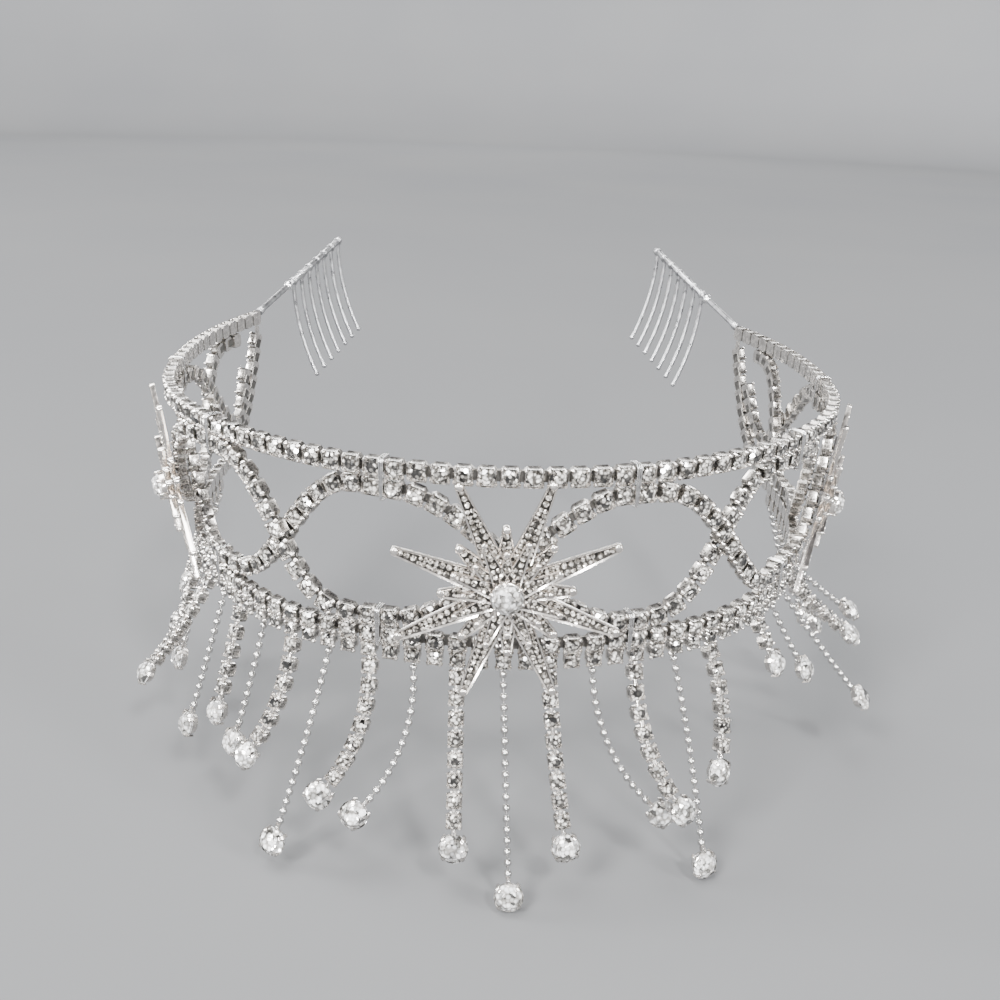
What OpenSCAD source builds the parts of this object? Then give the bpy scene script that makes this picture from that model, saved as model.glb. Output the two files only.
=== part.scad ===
// Rhinestone tiara: an open bandeau of silver-tone cup chain with three star
// brooches, a fringe of hanging strands and a side comb on each end.
// Millimetres. +Z is up, the front faces -Y, and the origin is the centre of
// the hoop at the height of the bottom rail.

/* [Hoop] */
// Radius of the broad front curve
front_r = 82.5; // [81:0.5:85]
// Half-angle of the front curve
front_angle = 53; // [52:0.5:54]
// Radius of the tighter curve at each temple
temple_r = 55; // [54:0.5:57]
// Angle of each temple curve
temple_angle = 27; // [26:0.5:28]
// Radius of the nearly straight run behind each temple
back_r = 110; // [105:1:115]
// Distance from the bottom rail to the top rail, centre to centre
rise = 33; // [32.75:0.25:34]
// How far the bottom rail stands outside the top rail at the front
flare = 3; // [2.75:0.25:3.5]
// How far it stands outside the top rail at the sides, where it tucks in
side_flare = -4; // [-4.25:0.25:-3.75]

/* [Cup chain] */
// Distance from stone to stone along the band
pitch = 4.2; // [4.15:0.01:4.25]
// Stones on each side of the middle stone, on the top rail
half_count = 39; // [39:1:39]
// Side of a square cup on the top rail and on the two waves
cup_w = 3.6; // [3.5:0.05:3.6]
// Side of a square cup on the bottom rail
low_cup_w = 3.3; // [3.2:0.05:3.4]
// Depth of a cup, from back to lip
cup_d = 2; // [1.9:0.05:2]
// Height of a stone above the lip of its cup
stone_h = 0.4; // [0.3:0.05:0.4]
// Side of a small cup soldered under the bottom rail, and of a fringe cup
small_cup_w = 3.1; // [3:0.05:3.1]

/* [Waves] */
// Half a wave, from crossing to crossing, along the top rail
half_wave = 44.4; // [44:0.1:44.8]
// How far each strand steps in or out where the two cross
layer = 1.4; // [1.38:0.01:1.45]

/* [Stars] */
// Reach of a long ray
long_ray = 22.6; // [21:0.2:23]
// Reach of a short ray
short_ray = 12.8; // [12:0.2:13.4]
// Thickness of a star plate
star_t = 1.1; // [1:0.05:1.2]
// Radius of the stone in the middle of a star
star_stone_r = 3; // [2.8:0.1:3.1]

/* [Fringe] */
// Distance from cup to cup in a fringe strand
strand_pitch = 4.05; // [4:0.01:4.07]
// Distance from ball to ball in a ball chain
ball_pitch = 2.2; // [2.1:0.05:2.25]
// Radius of the round stone drops
drop_r = 3; // [2.9:0.05:3.1]

/* [Combs] */
// Length of the plain wire between the band and a comb
wire_length = 18; // [16:0.5:19]
// Radius of the plain wire
wire_r = 0.8; // [0.7:0.05:0.9]
// Teeth of a comb
teeth = 7; // [6:1:8]
// Distance from tooth to tooth
tooth_pitch = 5; // [4.8:0.05:5.1]
// Radius of a tooth's wire
tooth_r = 0.6; // [0.6:0.01:0.65]
// Length of a tooth along its curve
tooth_length = 29; // [27:0.5:30]

/* [Hidden] */
$fn = 48;

// Clearance between pieces that are fixed by a fold, a claw or a wire wrap
gap = 0.15;
// An overlap that makes two shapes of one soldered solid run into each other
weld = 0.2;

half_length = half_count * pitch;
front_run = front_r * front_angle * PI / 180;
temple_run = temple_r * temple_angle * PI / 180;
turned = front_angle + temple_angle;
// Distance from the front of the top rail back to the centre of the hoop
hoop_mid = 56;
// Centres of the arcs on the right side, in plan
front_centre = [0, front_r - hoop_mid];
temple_centre = front_centre + (front_r - temple_r) * [sin(front_angle), -cos(front_angle)];
back_centre = temple_centre + (temple_r - back_r) * [sin(turned), -cos(turned)];

// Fringe strands, one row each: the stone of the bottom rail that it hangs
// from, counted from the middle, its kind, how many balls or cups it has, the
// angle from straight down at its top and at its drop, to the right, and how
// far it leans outwards
AT = 0;
KIND = 1;
COUNT = 2;
TOP_ANGLE = 3;
END_ANGLE = 4;
LEAN = 5;
BALLS = 0;
CUPS = 1;
fringe = [
  [-30, CUPS, 4, 0, 5, 18],
  [-28, BALLS, 9, 0, -6, 18],
  [-26, CUPS, 4, 0, -8, 18],
  [-24, BALLS, 10, 0, 8, 18],
  [-22, CUPS, 5, 0, 6, 18],
  [-20, BALLS, 10, 0, 4, 18],
  [-18, CUPS, 7, -4, -28, 30],
  [-16, BALLS, 13, 4, 0, 20],
  [-14, CUPS, 5, 8, 0, 20],
  [-12, BALLS, 11, 0, -6, 18],
  [-10, CUPS, 6, 10, -30, 23],
  [-8, BALLS, 18, -6, -12, 18],
  [-6, CUPS, 7, 10, -38, 18],
  [-4, BALLS, 14, 10, -42, 18],
  [-2, CUPS, 8, 2, 2, 18],
  [0, BALLS, 19, 3, 3, 18],
  [2, CUPS, 8, 3, 8, 18],
  [4, BALLS, 15, 0, 48, 14],
  [6, CUPS, 7, -8, 33, 26],
  [8, BALLS, 19, 8, 1, 18],
  [10, CUPS, 6, 17, -21, 18],
  [14, CUPS, 2, 6, 14, 26],
  [16, BALLS, 7, 8, 18, 28],
  [18, BALLS, 15, 10, 22, 36],
  [20, CUPS, 5, 0, 32, 46],
  [22, BALLS, 9, 10, 30, 48],
  [24, CUPS, 5, 2, 10, 24],
  [26, BALLS, 10, 0, 6, 18],
  [28, CUPS, 4, 0, -6, 18],
  [30, BALLS, 8, 0, -6, 18]
];

function strand_name(row) =
  row[AT] == 0 ? "strand_centre"
  : str("strand_", row[AT] < 0 ? "left_" : "right_", abs(row[AT]));

STAR_PLACES = ["front", "left", "right"];

// The hoop in plan: three arcs on each side that meet smoothly. s is the
// distance along the top rail from the middle of the front, to the right, and
// off is the distance outside the top rail. Gives x, y and the heading.
function plan(s, off = 0) =
  let (
    run = abs(s),
    on_front = run <= front_run,
    on_temple = run <= front_run + temple_run,
    r = on_front ? front_r : on_temple ? temple_r : back_r,
    h = on_front ? run / front_r * 180 / PI
      : on_temple ? front_angle + (run - front_run) / temple_r * 180 / PI
      : turned + (run - front_run - temple_run) / back_r * 180 / PI,
    centre = on_front ? front_centre : on_temple ? temple_centre : back_centre,
    spot = centre + (r + off) * [sin(h), -cos(h)]
  ) s < 0 ? [-spot[0], spot[1], -h] : [spot[0], spot[1], h];

// The band leans out at its foot in front and in at its foot at the sides
lean_start = 36;
lean_end = 96;
function lean(s) =
  let (t = min(1, max(0, (abs(s) - lean_start) / (lean_end - lean_start))))
  flare + (side_flare - flare) * t * t * (3 - 2 * t);
function on_lean(s, z, out) = plan(s, lean(s) * (1 - z / rise) + out);

// The bottom rail runs level and sweeps up to the top rail at each end
sweep_start = half_length - 34;
sweep_rise = rise - 3.4;
function low_z(s) =
  let (t = max(0, (abs(s) - sweep_start) / (half_length - sweep_start)))
  sweep_rise * pow(t, 2.5);
function low_slope(s) = atan((low_z(abs(s) + 0.1) - low_z(abs(s) - 0.1)) / 0.2);

// A wave swings between the two rails, runs flat beside each and just clears
// both. Strand a starts upwards to the right, and strand b is its mirror image.
// Its swing is a plain one before the front crest, and a squarer one behind it.
function swing(s) =
  let (square = abs(s) < half_wave / 2 ? 0 : 0.13)
  (sin(180 * s / half_wave) + square * sin(540 * s / half_wave)) / (1 - square);
crest_gap = (cup_w + low_cup_w) / 2 + 0.35;
function wave_z(s, strand) =
  let (
    floor_z = low_z(s) + crest_gap / cos(low_slope(s)),
    roof_z = rise - cup_w - gap
  ) (floor_z + roof_z) / 2 + strand * (roof_z - floor_z) / 2 * swing(s);
function wave_slope(s, strand) =
  atan((wave_z(s + 0.1, strand) - wave_z(s - 0.1, strand)) / 0.2);
function wave_out(s, strand) = strand * layer * (1 - pow(sin(180 * s / half_wave), 4));
wave_end = half_length - 9.5;

// Places of the cups of a wave, one pitch apart along the strand
function wave_walk(s, side, strand) =
  s > wave_end ? []
  : let (half_step = s + pitch / 2 * cos(wave_slope(side * s, strand)))
    concat([side * s], wave_walk(s + pitch * cos(wave_slope(side * half_step, strand)), side, strand));
low_end = half_length - 0.8;
function low_walk(s) =
  s > low_end ? []
  : concat([s], low_walk(s + pitch * cos(low_slope(s + pitch / 2))));

// Puts children on the band: +X along it, -Y outwards, +Z up
module on_band(s, z, out = 0, slope = 0) {
  spot = on_lean(s, z, out);
  drift = atan((lean(s + 0.1) - lean(s - 0.1)) / 0.2 * (1 - z / rise));
  translate([spot[0], spot[1], z]) rotate([0, 0, spot[2] - drift]) rotate([0, -slope, 0]) children();
}

// A square cup with its stone standing proud of the lip
module cup(side) {
  cube([side, cup_d, side], center = true);
  translate([-side * 0.32, -cup_d / 2 - stone_h, -side * 0.32])
    cube([side * 0.64, stone_h + weld, side * 0.64]);
}

// The strip that the cups of a soldered chain stand on, one length of it
strip_t = 0.5;
strip_h = 2.4;
wave_strip_h = 2;
strip_lap = 0.5;
strip_back = cup_d / 2 - 0.05;
module strip(height) {
  length = pitch + 2 * strip_lap;
  translate([-length / 2, strip_back - strip_t, -height / 2]) cube([length, strip_t, height]);
}

// The same strip bent along the top rail
module arc_strip(centre, r, from, to) {
  translate([centre[0], centre[1], rise - strip_h / 2]) rotate(from - 90)
    rotate_extrude(angle = to - from, $fn = 360)
      translate([r - strip_back, 0]) square([strip_t, strip_h]);
}
module top_strip() {
  back_turn = (half_length - front_run - temple_run) / back_r * 180 / PI;
  arc_strip(front_centre, front_r, -front_angle, front_angle);
  for (side = [0, 1]) mirror([side, 0, 0]) {
    arc_strip(temple_centre, temple_r, front_angle, turned);
    arc_strip(back_centre, back_r, turned, turned + back_turn);
  }
}

// And along the level run of the bottom rail, from s = -reach to s = reach
module low_strip(reach) {
  steps = ceil(2 * reach / 3);
  run = [for (i = [0:steps]) -reach + 2 * reach * i / steps];
  inner = [for (s = run) let (p = on_lean(s, 0, -strip_back)) [p[0], p[1]]];
  outer = [for (s = run) let (p = on_lean(-s, 0, strip_t - strip_back)) [p[0], p[1]]];
  translate([0, 0, -strip_h / 2]) linear_extrude(strip_h) polygon(concat(inner, outer));
}

module top_rail() {
  color("silver") {
    for (i = [-half_count:half_count]) on_band(i * pitch, rise) cup(cup_w);
    top_strip();
  }
}

// Small cups under the bottom rail, one under each of its middle stones
tab_drop = low_cup_w / 2 + small_cup_w / 2 + gap;
tab_count = 30;
tab_strip_w = 1.2;
module tab() {
  translate([0, 0, -tab_drop]) cup(small_cup_w);
  translate([-tab_strip_w / 2, strip_back - strip_t, -tab_drop])
    cube([tab_strip_w, strip_t, tab_drop]);
}

// The post at each end of the bottom rail, which reaches up to the top rail
post_w = 1.6;
post_t = 0.8;
module end_post(height) {
  translate([-post_w / 2, cup_d / 2 - post_t - 0.1, 0]) cube([post_w, post_t, height]);
}

module bottom_rail() {
  run = low_walk(0);
  end_s = run[len(run) - 1];
  end_z = low_z(end_s);
  color("silver") {
    for (i = [0:len(run) - 1], side = i == 0 ? [1] : [-1, 1])
      on_band(side * run[i], low_z(run[i]), 0, side * low_slope(run[i])) {
        cup(low_cup_w);
        if (i <= tab_count) tab();
      }
    low_strip(sweep_start);
    for (i = [1:len(run) - 1], side = [-1, 1]) {
      mid = (run[i - 1] + run[i]) / 2;
      if (run[i] > sweep_start)
        on_band(side * mid, low_z(mid), 0, side * low_slope(mid)) strip(strip_h);
    }
    for (side = [-1, 1])
      on_band(side * end_s, end_z) end_post(rise - cup_w / 2 - gap - end_z);
  }
}

module wave_strand(strand) {
  color("silver") for (side = [-1, 1]) {
    run = wave_walk(0, side, strand);
    for (i = [0:len(run) - 1]) {
      s = run[i];
      if (i > 0 || side > 0)
        on_band(s, wave_z(s, strand), wave_out(s, strand), wave_slope(s, strand)) cup(cup_w);
      if (i > 0) {
        mid = (run[i - 1] + s) / 2;
        on_band(mid, wave_z(mid, strand), wave_out(mid, strand), wave_slope(mid, strand))
          strip(wave_strip_h);
      }
    }
  }
}

// Fine wire lashed round a rail and the crest of a wave beside it, in the
// nearest gap between two cups of the rail
wrap_t = 0.4;
wrap_w = 0.9;
function gap_near(s) = (round(s / pitch - 0.5) + 0.5) * pitch;
module wrap(height) {
  depth = cup_d + stone_h + 4 * gap;
  translate([0, -stone_h / 2, 0]) difference() {
    cube([wrap_w, depth + 2 * wrap_t, height + 2 * wrap_t], center = true);
    cube([wrap_w + 1, depth, height], center = true);
  }
}
module wire_wraps() {
  roof_height = 2 * cup_w + 4 * gap;
  color("gainsboro") for (turn = [-2.5:1:2.5]) {
    s = gap_near(turn * half_wave);
    on_band(s, rise - cup_w / 2 - gap / 2) wrap(roof_height);
    if (abs(turn) < 2)
      on_band(s, (crest_gap + cup_w / 2 - low_cup_w / 2) / 2)
        wrap(crest_gap + cup_w / 2 + low_cup_w / 2 + 2 * gap);
  }
}

// A star brooch lies flat against the band, over a crossing of the waves, and
// leans with it
star_out = layer + cup_d / 2 + stone_h + 2 * gap;
function star_s(place) = place == "front" ? 0 : (place == "left" ? -1 : 1) * 2 * half_wave;
star_z = 12.5;
module on_star(place) {
  s = star_s(place);
  on_band(s, star_z, star_out) rotate([90 - atan(lean(s) / rise), 0, 0]) children();
}

// A tapering ray that points along +Y and ends in a round tip
module ray(reach, root_w, tip_r) {
  polygon([[-root_w, 0], [root_w, 0], [tip_r, reach - tip_r], [-tip_r, reach - tip_r]]);
  translate([0, reach - tip_r]) circle(tip_r, $fn = 24);
}
module rays(long_reach, short_reach, root_w, tip_r, trim) {
  for (i = [0:7]) {
    rotate(45 * i + 22.5) ray(long_reach - trim, root_w - trim, tip_r - trim);
    rotate(45 * i) ray(short_reach - trim, root_w - trim, tip_r - trim);
  }
}

// A star plate has a shallow bed inside a raised rim
root_w = 2.7;
tip_r = 0.8;
bed = 0.35;
rim = 0.3;
module star(place) {
  color("silver") on_star(place) difference() {
    linear_extrude(star_t) rays(long_ray, short_ray, root_w, tip_r, 0);
    translate([0, 0, star_t - bed]) linear_extrude(bed + 1)
      rays(long_ray, short_ray, root_w, tip_r, rim);
  }
}

// The raised middle of a star: a second, smaller star with a claw cup
boss_h = 1.3;
boss_long_ray = 11;
boss_short_ray = 8.5;
boss_root_w = 2;
boss_tip_r = 0.6;
claw_h = 1;
claw_t = 0.5;
module star_boss(place) {
  color("gainsboro") on_star(place) translate([0, 0, star_t + gap]) {
    linear_extrude(boss_h) rays(boss_long_ray, boss_short_ray, boss_root_w, boss_tip_r, 0);
    translate([0, 0, boss_h - weld]) cylinder(r = star_stone_r + claw_t, h = claw_h + weld);
  }
}

// A round cut stone: a flat table over a crown of flat faces, on a round girdle
table_share = 0.57;
module cut_stone(r, girdle_h, crown_h, sides) {
  cylinder(r = r, h = girdle_h);
  translate([0, 0, girdle_h - 0.05])
    cylinder(r1 = r - 0.1, r2 = r * table_share, h = crown_h, $fn = sides);
}
module star_stone(place) {
  color("aliceblue") on_star(place) translate([0, 0, star_t + boss_h + claw_h + 2 * gap])
    cut_stone(star_stone_r, 0.4, 1.2, 10);
}

// A fringe strand follows an arc in a plane that leans outwards from the band
// From the middle of the bottom rail down to the top of a strand: past the
// small cup, and lower where the strand leans more
function strand_start(row) =
  low_cup_w / 2 + small_cup_w + gap + cup_d / 2 * sin(row[LEAN]);
function strand_length(row) =
  row[COUNT] * (row[KIND] == CUPS ? strand_pitch : ball_pitch) + drop_r + 0.5;
function strand_angle(row, run) =
  row[TOP_ANGLE] + (row[END_ANGLE] - row[TOP_ANGLE]) * run / strand_length(row);
function strand_point(row, run) =
  let (bend = (row[END_ANGLE] - row[TOP_ANGLE]) * PI / 180, a = strand_angle(row, run))
  abs(bend) < 0.01 ? [run * sin(a), -run * cos(a)]
  : strand_length(row) / bend * [cos(row[TOP_ANGLE]) - cos(a), sin(row[TOP_ANGLE]) - sin(a)];
module on_strand(row, run) {
  p = strand_point(row, run);
  translate([p[0], 0, p[1]]) rotate([0, -strand_angle(row, run), 0]) children();
}

// A round stone in a claw cup, facing outwards, that ends each strand
drop_back = 1.2;
module drop() {
  rotate([90, 0, 0]) translate([0, 0, -drop_back]) cut_stone(drop_r, 1.9, 1.3, 10);
}

// The round body of a ball chain, as one smooth tube along its arc
tube_r = 0.7;
module ball_tube(row) {
  sides = 8;
  first = 0.1;
  last = strand_length(row) - drop_r - gap;
  rings = ceil((last - first) / 3);
  points = [
    for (i = [0:rings], j = [0:sides - 1])
      let (
        run = first + (last - first) * i / rings,
        p = strand_point(row, run),
        a = strand_angle(row, run),
        side = tube_r * cos(360 * j / sides),
        front = tube_r * sin(360 * j / sides)
      ) [p[0] + side * cos(a), front, p[1] + side * sin(a)]
  ];
  walls = [
    for (i = [0:rings - 1], j = [0:sides - 1])
      let (k = (j + 1) % sides)
      [i * sides + k, (i + 1) * sides + k, (i + 1) * sides + j, i * sides + j]
  ];
  ends = [
    [for (j = [sides - 1:-1:0]) j],
    [for (j = [0:sides - 1]) rings * sides + j]
  ];
  polyhedron(points, concat(walls, ends));
}

module fringe_strand(row) {
  s = row[AT] * pitch;
  color("silver") on_band(s, low_z(s)) translate([0, 0, -strand_start(row)]) rotate([-row[LEAN], 0, 0]) {
    if (row[KIND] == CUPS)
      for (i = [0:row[COUNT] - 1]) on_strand(row, (i + 0.5) * strand_pitch) cup(small_cup_w);
    else ball_tube(row);
    on_strand(row, strand_length(row)) drop();
  }
}

// The combs carry on from the ends of the top rail, in and slightly up
comb_heading = 110;
comb_climb = 15.5;
module on_comb_line(side, run) {
  spot = plan(half_length);
  start = [spot[0], spot[1], rise + 0.6];
  mirror([side < 0 ? 1 : 0, 0, 0]) translate(start) rotate([0, -comb_climb, comb_heading])
    translate([run, 0, 0]) children();
}

// A plain wire that ends in a bead of solder on the comb
wire_start = cup_w / 2 + 3 * gap;
bead_r = 1.5;
module comb_wire(side) {
  color("lightsteelblue") {
    on_comb_line(side, wire_start) rotate([0, 90, 0]) cylinder(r = wire_r, h = wire_length);
    on_comb_line(side, wire_start + wire_length) sphere(bead_r);
  }
}

// A comb: a bar with wire teeth that hang down and curve gently inwards
tooth_curve_r = 60;
module tooth() {
  turn = tooth_length / tooth_curve_r * 180 / PI;
  translate([0, tooth_curve_r, 0]) rotate([0, 90, 0]) rotate([0, 0, -90]) {
    rotate_extrude(angle = turn) translate([tooth_curve_r, 0]) circle(tooth_r, $fn = 16);
    rotate(turn) translate([tooth_curve_r, 0, 0]) sphere(tooth_r * 1.25, $fn = 16);
  }
}
bar_r = wire_r + 0.1;
bar_start = wire_start + wire_length + bead_r + gap;
bar_end = 1.5;
module comb(side) {
  bar_length = (teeth - 1) * tooth_pitch + 2 * bar_end;
  color("lightsteelblue") {
    on_comb_line(side, bar_start) rotate([0, 90, 0]) cylinder(r = bar_r, h = bar_length);
    for (i = [0:teeth - 1])
      on_comb_line(side, bar_start + bar_end + i * tooth_pitch) rotate([0, comb_climb, 0]) tooth();
  }
}

top_rail();
bottom_rail();
wave_strand(1);  // wave_strand_a
wave_strand(-1);  // wave_strand_b
wire_wraps();
for (p = STAR_PLACES) {
  star(p);
  star_boss(p);
  star_stone(p);
}
comb_wire(-1);  // comb_wire_left
comb_wire(1);  // comb_wire_right
comb(-1);  // comb_left
comb(1);  // comb_right
for (row = fringe) {
  fringe_strand(row);
}
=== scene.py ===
# Rhinestone tiara: an open bandeau of silver-tone cup chain with three star
# brooches, a fringe of hanging strands and a comb on each side.
# Metres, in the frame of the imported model: +Z is up and the front faces -Y.
import math
import random

import bpy
from mathutils import Matrix, Vector


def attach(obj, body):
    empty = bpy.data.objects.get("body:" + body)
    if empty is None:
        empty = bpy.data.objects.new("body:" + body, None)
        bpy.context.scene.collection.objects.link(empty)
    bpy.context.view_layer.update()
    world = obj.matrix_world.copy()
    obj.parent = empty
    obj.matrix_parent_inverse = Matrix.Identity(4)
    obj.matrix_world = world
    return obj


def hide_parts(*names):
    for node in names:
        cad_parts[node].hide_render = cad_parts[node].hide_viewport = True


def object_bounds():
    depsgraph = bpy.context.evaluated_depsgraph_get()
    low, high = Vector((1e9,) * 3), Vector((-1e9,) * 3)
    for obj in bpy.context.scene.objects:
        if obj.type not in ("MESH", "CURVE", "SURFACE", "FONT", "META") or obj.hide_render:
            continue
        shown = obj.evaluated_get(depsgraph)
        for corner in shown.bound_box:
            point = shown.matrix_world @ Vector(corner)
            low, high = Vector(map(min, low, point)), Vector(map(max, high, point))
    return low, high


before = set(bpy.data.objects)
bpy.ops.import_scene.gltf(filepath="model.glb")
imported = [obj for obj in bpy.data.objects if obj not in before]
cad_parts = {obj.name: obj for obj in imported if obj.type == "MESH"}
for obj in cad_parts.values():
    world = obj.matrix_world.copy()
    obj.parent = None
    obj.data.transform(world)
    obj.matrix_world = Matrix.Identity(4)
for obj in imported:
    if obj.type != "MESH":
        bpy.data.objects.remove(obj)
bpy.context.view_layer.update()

mm = 0.001

# Top rail
# The upper edge of the band: one length of plated cup chain. Each square cup
# holds a foil-backed stone under four folded claws, and a thin strip soldered
# along the back keeps the chain stiff.
pitch = 4.2 * mm
half_count = 39
half_length = half_count * pitch
cup_side = 3.6 * mm
cup_depth = 2 * mm
cup_corner = 0.6 * mm
cup_lip = 0.14 * mm
cup_well = 0.3 * mm
side_frame = 0.3 * mm
side_sunk = 0.12 * mm
stone_height = 0.4 * mm
stone_share = 0.485
stone_seat = 0.2 * mm
cut_height = stone_height + 0.25 * mm
claw_length = 0.7 * mm
claw_lift = 0.1 * mm
claw_tuck = 0.78
strip_t = 0.5 * mm
strip_y = cup_depth / 2 - 0.3 * mm
gap = 0.15 * mm
rise = 33 * mm
front_reach = 56 * mm
front_r = 82.5 * mm
temple_r = 55 * mm
back_r = 110 * mm
front_angle = math.radians(53)
temple_angle = math.radians(80)
front_run = front_r * front_angle
temple_run = temple_r * (temple_angle - front_angle)
front_lean = 3 * mm
side_lean = 4 * mm
lean_start = 36 * mm
lean_run = 60 * mm
nudge = 0.1 * mm
dice = random.Random(11)


def off_centre(centre, r, heading):
    return centre[0] + r * math.sin(heading), centre[1] - r * math.cos(heading)


front_centre = (0, front_r - front_reach)
temple_centre = off_centre(front_centre, front_r - temple_r, front_angle)
back_centre = off_centre(temple_centre, temple_r - back_r, temple_angle)


def plan(s, off=0.0):
    """Place and heading on the hoop, seen from above, at s along it from the middle of the front."""
    run = abs(s)
    if run <= front_run:
        heading, centre, r = run / front_r, front_centre, front_r
    elif run <= front_run + temple_run:
        heading, centre, r = front_angle + (run - front_run) / temple_r, temple_centre, temple_r
    else:
        heading, centre, r = temple_angle + (run - front_run - temple_run) / back_r, back_centre, back_r
    x, y = off_centre(centre, r + off, heading)
    return (-x, y, -heading) if s < 0 else (x, y, heading)


def foot(s):
    """How far the band's foot stands outside its top: out in front, and tucked in at the sides."""
    t = min(1, max(0, (abs(s) - lean_start) / lean_run))
    return front_lean - (front_lean + side_lean) * t * t * (3 - 2 * t)


def grade(line, s):
    """How steeply a line rises at s."""
    return (line(s + nudge) - line(s - nudge)) / (2 * nudge)


def on_band(s, z, out=0.0, slope=0.0):
    """A place on the band: +X along it, -Y outwards, +Z up."""
    share = 1 - z / rise
    x, y, heading = plan(s, foot(s) * share + out)
    heading -= math.atan(grade(foot, s) * share)
    turn = Matrix.Rotation(heading, 4, "Z") @ Matrix.Rotation(-slope, 4, "Y")
    return Matrix.Translation((x, y, z)) @ turn


def at(x, y, z):
    return Matrix.Translation((x, y, z))


def pick(piece, kind, chosen):
    """Opens a piece for editing, with the faces, edges or points selected that chosen() asks for."""
    bpy.ops.object.select_all(action="DESELECT")
    piece.select_set(True)
    bpy.context.view_layer.objects.active = piece
    bpy.ops.object.mode_set(mode="EDIT")
    bpy.ops.mesh.select_mode(type=kind)
    bpy.ops.mesh.select_all(action="DESELECT")
    bpy.ops.object.mode_set(mode="OBJECT")
    mesh = piece.data
    if kind == "FACE":
        for face in mesh.polygons:
            face.select = chosen(face.center, face.normal)
    elif kind == "EDGE":
        for edge in mesh.edges:
            a, b = (mesh.vertices[i].co for i in edge.vertices)
            edge.select = chosen((a + b) / 2, (b - a).normalized())
    else:
        for point in mesh.vertices:
            point.select = chosen(point.co)
    bpy.ops.object.mode_set(mode="EDIT")


def done():
    bpy.ops.object.mode_set(mode="OBJECT")
    return bpy.context.view_layer.objects.active


def eased(piece, chosen, width, segments=1):
    """Bevels the edges that chosen() asks for."""
    pick(piece, "EDGE", chosen)
    bpy.ops.mesh.bevel(offset=width, segments=segments)
    return done()


def opened(piece, chosen):
    """Takes away the faces that chosen() asks for."""
    pick(piece, "FACE", chosen)
    bpy.ops.mesh.delete(type="FACE")
    return done()


def new_piece(finish):
    """Makes the primitive just added a piece at the origin, in one finish."""
    piece = bpy.context.view_layer.objects.active
    bpy.ops.object.transform_apply(location=True, rotation=True, scale=True)
    piece.data.materials.clear()
    piece.data.materials.append(finish)
    return piece


def block(size, place, finish):
    """A plain block to start a piece from."""
    bpy.ops.object.select_all(action="DESELECT")
    bpy.ops.mesh.primitive_cube_add(size=1, scale=size, location=place)
    return new_piece(finish)


def smoothed(piece, degrees=40):
    """Smooths the edges that turn by less than an angle."""
    bpy.ops.object.select_all(action="DESELECT")
    piece.select_set(True)
    bpy.context.view_layer.objects.active = piece
    bpy.ops.object.shade_smooth_by_angle(angle=math.radians(degrees))
    return piece


def copies(pattern, places):
    """One copy of a pattern at each place, each with its own mesh."""
    made = []
    for place in places:
        twin = bpy.data.objects.new(pattern.name, pattern.data.copy())
        twin.data.transform(place)
        bpy.context.scene.collection.objects.link(twin)
        made.append(twin)
    return made


def joined(name, parts):
    """Joins parts to one named piece."""
    bpy.ops.object.select_all(action="DESELECT")
    for part in parts:
        part.select_set(True)
    bpy.context.view_layer.objects.active = parts[0]
    if len(parts) > 1:
        bpy.ops.object.join()
    piece = bpy.context.view_layer.objects.active
    piece.name = name
    piece.data.name = name
    return piece


def numbered(piece):
    """Gives each face its own number from 0 to 1, which the stones' finish reads."""
    mark = piece.data.attributes.new("facet", "FLOAT", "FACE")
    mark.data.foreach_set("value", [dice.random() for _ in piece.data.polygons])
    return piece


def fitted(piece, slot, *nodes):
    """Puts a finished piece in the place of its plain solids."""
    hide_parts(*nodes)
    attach(piece, "root")
    return piece


def new_finish(name):
    finish = bpy.data.materials.new(name)
    finish.use_nodes = True
    nodes, links = finish.node_tree.nodes, finish.node_tree.links
    return finish, nodes, links, nodes["Principled BSDF"]


def ramp(nodes, stops):
    """A colour ramp with its stops as (place, colour) pairs."""
    node = nodes.new("ShaderNodeValToRGB")
    bar = node.color_ramp
    while len(bar.elements) < len(stops):
        bar.elements.new(0.5)
    for element, (place, colour) in zip(bar.elements, stops):
        element.position = place
        element.color = (*colour, 1)
    return node


def vector_step(nodes, links, operation, *fed):
    """One step of vector arithmetic, fed by sockets or by fixed values."""
    node = nodes.new("ShaderNodeVectorMath")
    node.operation = operation
    for socket, value in zip(node.inputs, fed):
        if isinstance(value, bpy.types.NodeSocket):
            links.new(value, socket)
        else:
            socket.default_value = value
    return node


def multiplied(nodes, links, first, second):
    """Two colours, multiplied."""
    node = nodes.new("ShaderNodeMix")
    node.data_type = "RGBA"
    node.blend_type = "MULTIPLY"
    node.inputs["Factor"].default_value = 1
    links.new(first, node.inputs[6])
    links.new(second, node.inputs[7])
    return node.outputs[2]


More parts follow.
